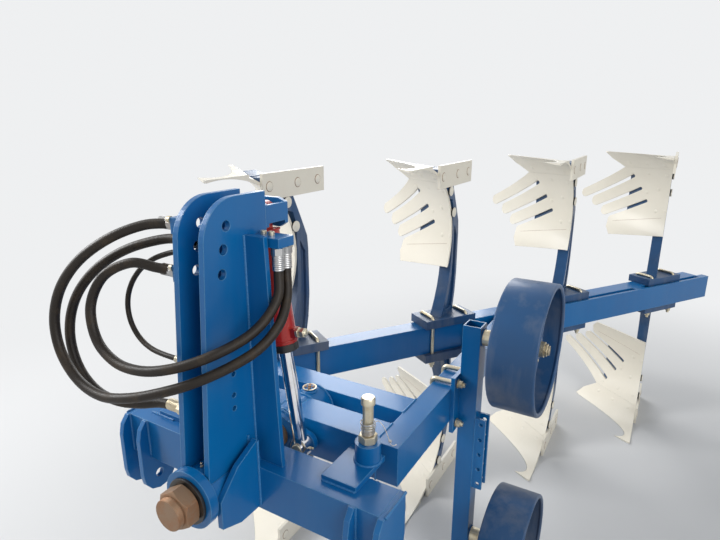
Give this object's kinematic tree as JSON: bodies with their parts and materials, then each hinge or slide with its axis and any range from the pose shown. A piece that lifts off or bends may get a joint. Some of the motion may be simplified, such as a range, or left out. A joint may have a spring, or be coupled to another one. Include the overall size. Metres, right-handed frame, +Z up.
{
  "type": "reversible mouldboard plough",
  "caption": "Mounted reversible mouldboard plough with slatted boards, turnover shaft and cylinder, stepped beam and paired gauge wheels",
  "frame": {"origin": "centre of the footprint on the ground, under the middle of the bounding box", "axes": "+Y points rearwards along the line of travel, +Z up, +X to the plough's left"},
  "size_m": [1.865, 2.8601, 1.48],
  "materials": {
    "blue_paint": "glossy enamel on welded steel",
    "dark_paint": "darker glossy enamel on cast and forged parts",
    "cream_paint": "cream enamel on the soil-working plates",
    "red_paint": "red enamel on the cylinder barrel",
    "zinc": "zinc-plated fasteners",
    "bare_steel": "turned steel",
    "brown_steel": "bare steel gone brown",
    "black_steel": "blackened steel gland",
    "chrome_rod": "hard chrome piston rod",
    "hose": "braided rubber hydraulic hose"
  },
  "bodies": {
    "headstock": {"crossbeam": "blue_paint", "hub_sleeve": "blue_paint", "mast_plates": "blue_paint", "mast_stiffeners": "blue_paint", "cheek_plates": "blue_paint", "clevis_lugs": "blue_paint", "stop_brackets": "blue_paint", "stop_bolts": "zinc", "cylinder_bracket": "blue_paint", "cylinder_pin": "zinc", "port_block": "blue_paint", "hose_left": "hose", "hose_right": "hose", "hose_couplers": "bare_steel"},
    "frame": {"shaft": "bare_steel", "shaft_nut": "brown_steel", "thrust_washer": "zinc", "front_tube": "blue_paint", "rear_tube": "blue_paint", "near_tube": "blue_paint", "far_tube": "blue_paint", "frame_sleeve": "blue_paint", "main_beam": "blue_paint", "stiffener_plate": "blue_paint", "beam_spacers": "blue_paint", "stop_lug": "blue_paint", "crank_ear": "blue_paint", "foot_pads": "dark_paint", "foot_ubolts": "zinc", "legs_upper": "dark_paint", "legs_lower": "dark_paint", "frogs_upper": "dark_paint", "frogs_lower": "dark_paint", "landsides_upper": "cream_paint", "landsides_lower": "cream_paint", "shares_upper": "cream_paint", "shares_lower": "cream_paint", "mouldboards_upper": "cream_paint", "mouldboards_lower": "cream_paint", "wheel_clamp": "blue_paint", "wheel_ubolts": "zinc", "wheel_post": "blue_paint", "hole_bars": "blue_paint", "wheel_axles": "zinc"},
    "top_wheel": {"upper_wheel": "blue_paint"},
    "bottom_wheel": {"lower_wheel": "blue_paint"},
    "cylinder": {"barrel": "red_paint", "gland": "black_steel"},
    "rod": {"piston_rod": "chrome_rod"}
  },
  "joints": [
    {"name": "turnover", "type": "hinge", "parent": "headstock", "child": "frame", "pos_m": [-0.226, -1.034, 0.74], "axis": [0, -1, 0], "range_deg": [0, 180]},
    {"name": "top_wheel_spin", "type": "hinge", "parent": "frame", "child": "top_wheel", "pos_m": [0.379, -0.525, 0.971], "axis": [1, 0, 0], "continuous": true},
    {"name": "bottom_wheel_spin", "type": "hinge", "parent": "frame", "child": "bottom_wheel", "pos_m": [0.379, -0.525, 0.206], "axis": [1, 0, 0], "continuous": true},
    {"name": "cylinder_swing", "type": "hinge", "parent": "headstock", "child": "cylinder", "pos_m": [-0.226, -1.034, 1.412], "axis": [0, -1, 0], "range_deg": [-17.8, 0]},
    {"name": "rod_slide", "type": "slide", "parent": "cylinder", "child": "rod", "axis": [-0.1544, 0, 0.988], "range_m": [0, 0.26]}
  ],
  "couplings": [
    {"joint": "cylinder_swing", "follows": "turnover", "ratio": -0.0987},
    {"joint": "rod_slide", "follows": "turnover", "m_per_rad": 0.08275}
  ]
}
